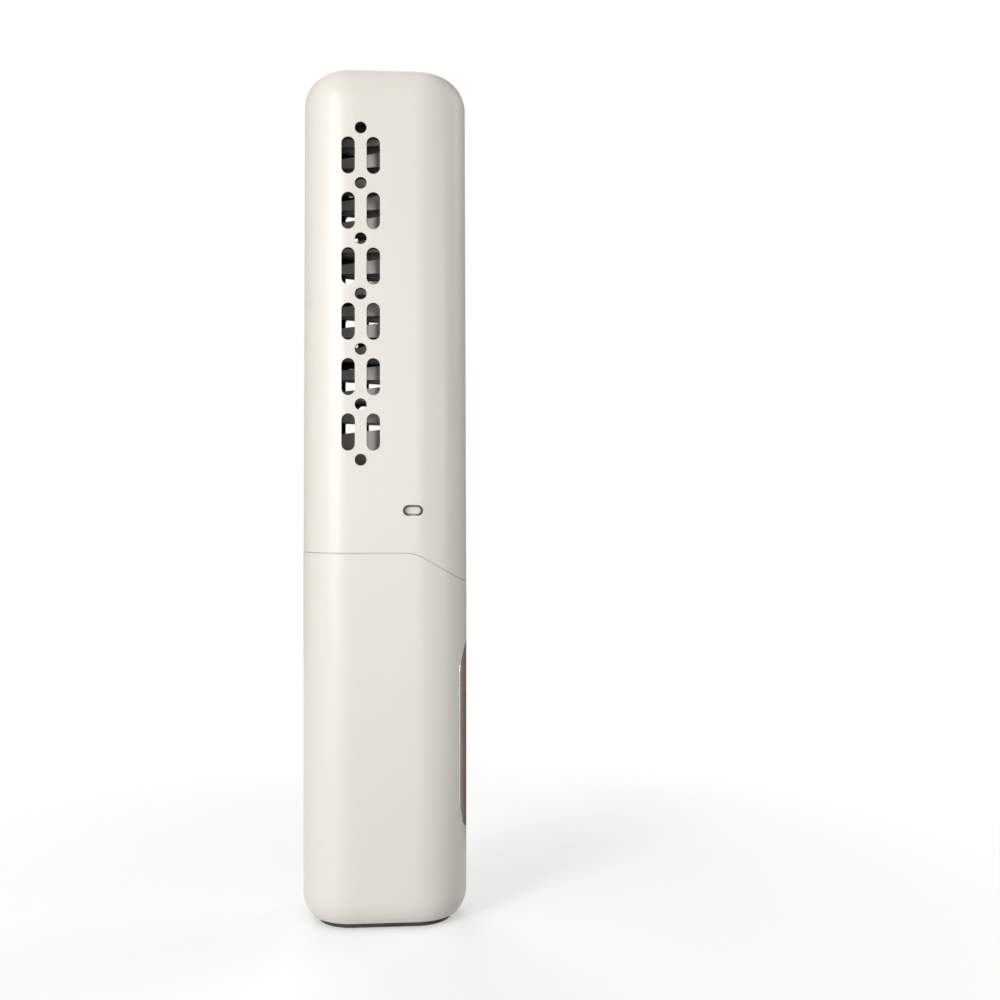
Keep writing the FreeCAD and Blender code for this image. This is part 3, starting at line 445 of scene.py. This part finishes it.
def contact_strips(trim, steps_around=12):
    """Rows of thin contacts on both faces of the inlet's tongue.

    Each strip is a superellipse carried along the tongue: half width times sign(cos)|cos|^0.5 across and
    lift times sign(sin)|sin|^0.5 in height, drawn in a little at both ends and closed by a pole there.
    """
    turn = np.linspace(2 * np.pi, 0, steps_around, endpoint=False)
    across = np.sign(np.cos(turn)) * np.abs(np.cos(turn)) ** 0.5 * trim.contact_width / 2
    up = np.sign(np.sin(turn)) * np.abs(np.sin(turn)) ** 0.5 * trim.contact_lift
    along = np.array([0.0, 0.04, 0.96, 1.0]) * trim.contact_length
    size = np.array([0.8, 1.0, 1.0, 0.8])
    x = size[:, None] * up[None, :]
    y = size[:, None] * across[None, :]
    z = np.repeat(along[:, None], len(turn), axis=1)
    rings = np.stack([x, y, z], axis=-1)
    one, one_faces = closed_tube(rings, rings[[0, -1]].mean(axis=1))
    shifts = (np.arange(trim.contact_count) - (trim.contact_count - 1) / 2) * trim.contact_pitch
    foot = TONGUE_LOW.z + trim.contact_inset
    places = [(face, shift, foot) for face in (TONGUE_LOW.x, TONGUE_HIGH.x) for shift in shifts]
    points = (one[None] + np.array(places)[:, None, :]).reshape(-1, 3)
    faces = (one_faces[None] + np.arange(len(places))[:, None, None] * len(one)).reshape(-1, 3)
    return points, faces


def under_skin(finish, trim):
    """1 on the cap's inside, where the painted shade goes, 0 on its outside.

    The depth is that of a rounded rectangle, drawn in towards the top by the rounding of the top edge.
    """
    x, y, z = finish.axes()
    side = abs(x - (CAP_LOW.x + CAP_HIGH.x) / 2) - ((CAP_HIGH.x - CAP_LOW.x) / 2 - trim.body_round)
    face = abs(y - (CAP_LOW.y + CAP_HIGH.y) / 2) - ((CAP_HIGH.y - CAP_LOW.y) / 2 - trim.body_round)
    past_side, past_face = side.math("MAXIMUM", 0.0), face.math("MAXIMUM", 0.0)
    corner = (past_side * past_side + past_face * past_face).math("SQRT")
    flat = side.math("MAXIMUM", face).math("MINIMUM", 0.0)
    rise = (z - (CAP_HIGH.z - trim.top_round)).math("MAXIMUM", 0.0)
    drawn_in = trim.top_round - (trim.top_round ** 2 - rise * rise).math("MAXIMUM", 0.0).math("SQRT")
    depth = trim.body_round - corner - flat - drawn_in
    return depth.step(trim.skin, trim.skin + trim.skin_fade) * (z < CAP_HIGH.z - trim.skin)


class COMB_OT_moulded_shells(Operator):
    """Finish the cap, the grip and the comb's two shells"""

    bl_idname = "comb.moulded_shells"
    bl_label = "Moulded shells"

    def execute(self, context):
        looks = context.scene.comb_finish
        grip, _ = ivory_moulding("grip_ivory", looks, cloud_shift=(0.7, 0.4, 0.2))
        wear(grip.material, "handle_sleeve")
        cap, _ = ivory_moulding("cap_ivory", looks, cloud_shift=(0.3, 0.1, 0.0))
        # Painted shade over the inside of the cap.
        cap.cover(under_skin(cap, context.scene.comb_trim), looks.cap_inside_shade, looks.painted_shade_rough)
        wear(cap.material, "cap_shell")
        comb, rough = ivory_moulding("comb_ivory", looks, cloud_shift=(0.1, 0.9, 0.5))
        x, _, z = comb.axes()
        level = abs(comb.axes("Normal")[2]).step(*LEVEL_FACE)
        # Painted shade: dark colour on the level walls of the tooth gaps, for the shade between the teeth.
        gap_shade_mask = level * (x < 0.0) * (z > COMB_LOW.z) * (z < COMB_HIGH.z - GAP_SHADE_MARGIN)
        comb.cover(gap_shade_mask, looks.gap_wall_shade, looks.painted_shade_rough)
        teeth = (x * -1.0).step(*TOOTH_SIDE)
        comb.feed(Roughness=rough + looks.teeth_rough * teeth)
        wear(comb.material, "head_front_shell", "head_rear_shell")
        return {"FINISHED"}


class COMB_OT_pad_and_seals(Operator):
    """Finish the foot pad and the thin dark rings"""

    bl_idname = "comb.pad_and_seals"
    bl_label = "Pad and seals"

    def execute(self, context):
        looks = context.scene.comb_finish
        pad = moulded("pad_rubber", looks.pad, roughness=0.55, grain_scale=3800.0)
        seal = moulded("seal_rubber", looks.seal, roughness=0.5, grain_scale=4200.0)
        wear(pad, "base_pad")
        wear(seal, "panel_gasket", "button_gasket")
        return {"FINISHED"}


class COMB_OT_side_panel(Operator):
    """Finish the glossy blush panel"""

    bl_idname = "comb.side_panel"
    bl_label = "Side panel"

    def execute(self, context):
        blush = context.scene.comb_finish.blush
        finish = Finish("panel_gloss", IOR=1.5, Metallic=0.8, Coat_Weight=0.5, Coat_Roughness=0.03)
        slow = finish.clouds(scale=40.0)
        fine = finish.clouds(scale=1500.0)
        base = finish.blend(slow, blush, darker(blush, 0.97, 0.93, 0.92))
        finish.feed(Base_Color=base, Roughness=0.22 + 0.06 * fine)
        wear(finish.material, "side_panel")
        return {"FINISHED"}


class COMB_OT_power_button(Operator):
    """Finish the button and print its sign"""

    bl_idname = "comb.power_button"
    bl_label = "Power button"

    def execute(self, context):
        looks = context.scene.comb_finish
        finish = Finish("button_satin", IOR=1.5, Coat_Weight=0.5, Coat_Roughness=0.12)
        slow = finish.clouds(scale=160.0)
        fine = finish.clouds(scale=3200.0, detail=1.0)
        base = finish.blend(slow, looks.blush, darker(looks.blush, 0.98, 0.94, 0.93))
        normal = finish.grain(fine, strength=0.08, depth=0.02 * MM)
        finish.feed(Base_Color=base, Roughness=0.28 + 0.08 * fine, Normal=normal)
        wear(finish.material, "power_button")
        ink = moulded("sign_ink", looks.sign, roughness=0.45, grain_scale=5000.0, shade=0.9)
        points, faces = power_sign_shape(context.scene.comb_trim)
        put_mesh("power_sign", points, faces, "button", ink)
        return {"FINISHED"}


class COMB_OT_heated_comb(Operator):
    """Finish the heated comb and what is round it inside the shells"""

    bl_idname = "comb.heated_comb"
    bl_label = "Heated comb"

    def execute(self, context):
        looks = context.scene.comb_finish
        coat = moulded(
            "comb_dark_coat", looks.comb_coat, roughness=0.5, grain_scale=3000.0, Specular_IOR_Level=0.2
        )
        ceramic = moulded("fired_ceramic", (0.78, 0.76, 0.71), roughness=0.62, grain_scale=1800.0, shade=0.9)
        mica = moulded("pressed_mica", (0.38, 0.32, 0.22), roughness=0.5, grain_scale=900.0, shade=0.6)
        can = drawn_metal("fuse_can", (0.62, 0.6, 0.56), roughness=0.28, stretch=(900.0, 900.0, 40.0))
        bead = moulded(
            "sensor_bead", (0.10, 0.03, 0.02), roughness=0.15, grain_scale=2000.0, shade=0.8, Coat_Weight=0.6
        )
        sleeve = moulded("lead_sleeve", (0.42, 0.035, 0.03), roughness=0.5, grain_scale=2400.0, shade=0.85)
        wear(coat, "heater_comb")
        wear(ceramic, "ceramic_heater")
        wear(mica, "spine_insulator", "heat_barrier")
        wear(can, "thermal_fuse")
        wear(bead, "temperature_sensor")
        wear(sleeve, "heater_leads")
        return {"FINISHED"}


def solder_mask():
    """Green board: staggered tracks in colour and relief under a clear coat."""
    finish = Finish("solder_mask", Coat_Weight=0.4)
    tracks = finish.start.add(
        "ShaderNodeTexBrick",
        {"offset": 0.5},
        {"Vector": finish.mapped(Scale=(0.0, 420.0, 120.0)), "Scale": 1.0, "Mortar Size": 0.08, "Bias": 0.0},
        out="Fac",
    )
    fine = finish.clouds(scale=2600.0)
    base = finish.blend(tracks, (0.012, 0.075, 0.032), (0.022, 0.12, 0.05))
    normal = finish.grain(tracks, strength=0.3, depth=0.03 * MM)
    finish.feed(Base_Color=base, Roughness=0.3 + 0.15 * fine, Normal=normal)
    return finish.material


class COMB_OT_works(Operator):
    """Finish the cell, its tray, the board, the switch and the screws inside the grip"""

    bl_idname = "comb.works"
    bl_label = "Cell and board"

    def execute(self, context):
        tray = moulded("tray_moulding", (0.075, 0.075, 0.08), roughness=0.5, grain_scale=2200.0)
        cell = moulded(
            "cell_sleeve", (0.035, 0.085, 0.21), roughness=0.3, grain_scale=700.0, shade=0.85, Coat_Weight=0.3
        )
        strip = drawn_metal("tab_strip", (0.66, 0.64, 0.58), roughness=0.25, stretch=(30.0, 900.0, 900.0))
        chips = moulded("component_case", (0.02, 0.02, 0.021), roughness=0.4)
        switch = moulded("switch_case", (0.03, 0.03, 0.03), roughness=0.45)
        plunger = moulded("plunger_case", (0.16, 0.16, 0.155), roughness=0.42)
        lens = moulded(
            "light_lens", (0.82, 0.79, 0.66), roughness=0.2, grain_scale=1200.0, shade=0.95, Coat_Weight=0.4
        )
        zinc = drawn_metal("screw_zinc", (0.58, 0.58, 0.56), roughness=0.3, stretch=(700.0, 700.0, 700.0))
        wear(tray, "cell_tray")
        wear(cell, "battery_cell")
        wear(strip, "cell_tabs")
        wear(chips, "board_components")
        wear(switch, "tact_switch")
        wear(plunger, "switch_plunger")
        wear(lens, "indicator_lights")
        wear(zinc, "base_screws", "head_screws", "board_screws")
        wear(solder_mask(), "main_board")
        return {"FINISHED"}


class COMB_OT_charging_inlet(Operator):
    """Finish the charging inlet and lay the contacts on its tongue"""

    bl_idname = "comb.charging_inlet"
    bl_label = "Charging inlet"

    def execute(self, context):
        steel = drawn_metal("inlet_shell", (0.64, 0.64, 0.63), roughness=0.24, stretch=(600.0, 600.0, 60.0))
        tongue = moulded("tongue_case", (0.022, 0.022, 0.022), roughness=0.45)
        gold = drawn_metal("contact_gold", (0.78, 0.56, 0.24), roughness=0.22, stretch=(900.0, 900.0, 120.0))
        wear(steel, "usb_socket")
        wear(tongue, "usb_tongue")
        points, faces = contact_strips(context.scene.comb_trim)
        put_mesh("tongue_contacts", points, faces, "handle", gold)
        return {"FINISHED"}


def seen_ray(start):
    """1 for rays of the camera, of reflections and of glass, else 0."""
    path = start.add("ShaderNodeLightPath", out="Is Camera Ray")
    seen = path.math("MAXIMUM", path.beside("Is Glossy Ray"))
    return seen.math("MAXIMUM", path.beside("Is Transmission Ray"))


def cleared(holder):
    """Start for new nodes in a material or world, emptied of those that it came with."""
    holder.use_nodes = True
    holder.node_tree.nodes.clear()
    return Socket(holder.node_tree)


def floor_material(stage):
    """Pale floor: lit, with the object's shadow, near the object, and plain white further out.

    It sends less light up to the object's right foot than elsewhere.
    """
    material = bpy.data.materials.new("pale_floor")
    start = cleared(material)
    place = start.add("ShaderNodeTexCoord", out="Object")
    across = start.add("ShaderNodeSeparateXYZ", inputs={0: place})
    away = start.add("ShaderNodeVectorMath", {"operation": "LENGTH"}, {0: place}, out="Value")
    near = 1.0 - away.step(SHADOW_CORE * stage.floor_near, stage.floor_near)
    by_foot = across.step(*RIGHT_OF_FOOT) * (1.0 - away.step(*ROUND_FOOT))
    bounce = stage.floor_bounce - (stage.floor_bounce - stage.foot_bounce) * by_foot
    seen = seen_ray(start)
    kept = bounce + seen * (stage.floor_shade * near - bounce)
    tinted = start.add("ShaderNodeVectorMath", {"operation": "SCALE"}, {0: FLOOR_TINT, "Scale": kept})
    lit = start.add("ShaderNodeBsdfDiffuse", inputs={"Color": tinted})
    level = seen * (1.0 - near * (1.0 - stage.floor_lift))
    glow = start.add("ShaderNodeEmission", inputs={"Color": level})
    both = start.add("ShaderNodeAddShader", inputs={0: lit, 1: glow})
    start.add("ShaderNodeOutputMaterial", inputs={"Surface": both})
    return material


def white_room(stage):
    """World that is white where it is seen and gives a plain level of light elsewhere."""
    world = bpy.data.worlds.new("white_room")
    start = cleared(world)
    white = start.add("ShaderNodeBackground", inputs={"Color": WHITE, "Strength": 1.0})
    inputs = {"Color": (*stage.ambient_tint, 1.0), "Strength": stage.ambient}
    light = start.add("ShaderNodeBackground", inputs=inputs)
    both = start.add("ShaderNodeMixShader", inputs={0: seen_ray(start), 1: light, 2: white})
    start.add("ShaderNodeOutputWorld", inputs={"Surface": both})
    return world


def limit_rays(thing, name):
    """Hide a lamp or card from the camera, and from matt or glossy surfaces if the lists name it."""
    thing.visible_camera = False
    thing.visible_diffuse = name not in GLOSS_ONLY
    thing.visible_glossy = name not in MATT_ONLY


def soft_lamp(name, watts):
    """Rectangular lamp of the table, turned to the middle of the object."""
    place, width, height = LAMPS[name]
    data = bpy.data.lights.new(name + "_lamp", "AREA")
    data.shape = "RECTANGLE"
    data.size = width
    data.size_y = height
    data.energy = watts
    lamp = bpy.data.objects.new(name + "_lamp", data)
    lamp.location = place
    x, y, z = np.subtract(LAMP_TARGET, place)
    lamp.rotation_euler = (math.atan2(math.hypot(x, y), -z), 0.0, math.atan2(-x, y))
    limit_rays(lamp, name)
    bpy.context.scene.collection.objects.link(lamp)


def sheet(name, grid, material):
    """New object of the stage from a grid of points."""
    rows, columns, _ = grid.shape
    corner = np.arange(rows * columns).reshape(rows, columns)
    faces = np.stack([corner[:-1, :-1], corner[1:, :-1], corner[1:, 1:], corner[:-1, 1:]], axis=-1)
    mesh = bpy.data.meshes.new(name)
    mesh.from_pydata(grid.reshape(-1, 3), [], faces.reshape(-1, 4))
    mesh.materials.append(material)
    new = bpy.data.objects.new(name, mesh)
    bpy.context.scene.collection.objects.link(new)
    return new


def edge_flag(name, colour, steps=5):
    """Upright card of the table, without a shadow, that keeps the object's pale edges readable."""
    first, last, height = CARDS[name]
    along = np.linspace(0.0, 1.0, steps)
    u, v = np.meshgrid(along, along, indexing="ij")
    x = first[0] + (last[0] - first[0]) * u
    y = first[1] + (last[1] - first[1]) * u
    card = sheet(name, np.stack([x, y, height * v], axis=-1), moulded(name, colour, roughness=0.8))
    card.visible_shadow = False
    limit_rays(card, name)


class COMB_OT_stage(Operator):
    """Set the floor, the room, the lamps, the cards and the camera"""

    bl_idname = "comb.stage"
    bl_label = "Stage"

    def execute(self, context):
        scene = context.scene
        stage = scene.comb_stage
        edge = np.linspace(-stage.floor_size, stage.floor_size, num=3)
        x, y = np.meshgrid(edge, edge, indexing="ij")
        floor = sheet("floor", np.stack([x, y, np.zeros_like(x)], axis=-1), floor_material(stage))
        scene.world = white_room(stage)
        for name in LAMPS:
            soft_lamp(name, getattr(stage, name + "_power"))
        for name in CARDS:
            edge_flag(name, getattr(stage, name))
        data = bpy.data.cameras.new("camera")
        data.lens = stage.lens
        data.clip_start = CAMERA_CLIP
        camera = bpy.data.objects.new("camera", data)
        camera.location = stage.camera_place
        camera.rotation_euler = (math.pi / 2, 0.0, -stage.camera_turn)
        scene.collection.objects.link(camera)
        scene.camera = camera
        scene.view_settings.view_transform = "Standard"
        return {"FINISHED"}


PIECES = (
    COMB_OT_moulded_shells,
    COMB_OT_pad_and_seals,
    COMB_OT_side_panel,
    COMB_OT_power_button,
    COMB_OT_heated_comb,
    COMB_OT_works,
    COMB_OT_charging_inlet,
    COMB_OT_stage,
)
GROUPS = {"comb_finish": COMB_PG_finish, "comb_trim": COMB_PG_trim, "comb_stage": COMB_PG_stage}


class COMB_PT_sidebar(Panel):
    """Values and steps of the comb"""

    bl_label = "Straightening comb"
    bl_idname = "COMB_PT_sidebar"
    bl_space_type = "VIEW_3D"
    bl_region_type = "UI"
    bl_category = "Comb"

    def draw(self, context):
        for name, group in GROUPS.items():
            column = self.layout.column()
            for value in group.__annotations__:
                column.prop(getattr(context.scene, name), value)
        for piece in PIECES:
            self.layout.operator(piece.bl_idname)


def register():
    """Make the classes and the scene's values known."""
    for item in (*GROUPS.values(), *PIECES, COMB_PT_sidebar):
        bpy.utils.register_class(item)
    for name, group in GROUPS.items():
        setattr(bpy.types.Scene, name, PointerProperty(type=group))


def unregister():
    """Take the classes and the scene's values away again."""
    for name in GROUPS:
        delattr(bpy.types.Scene, name)
    for item in (COMB_PT_sidebar, *reversed(PIECES), *reversed(tuple(GROUPS.values()))):
        bpy.utils.unregister_class(item)


def main():
    """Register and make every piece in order."""
    register()
    for piece in PIECES:
        group, name = piece.bl_idname.split(".")
        getattr(getattr(bpy.ops, group), name)()


if __name__ == "__main__":
    main()
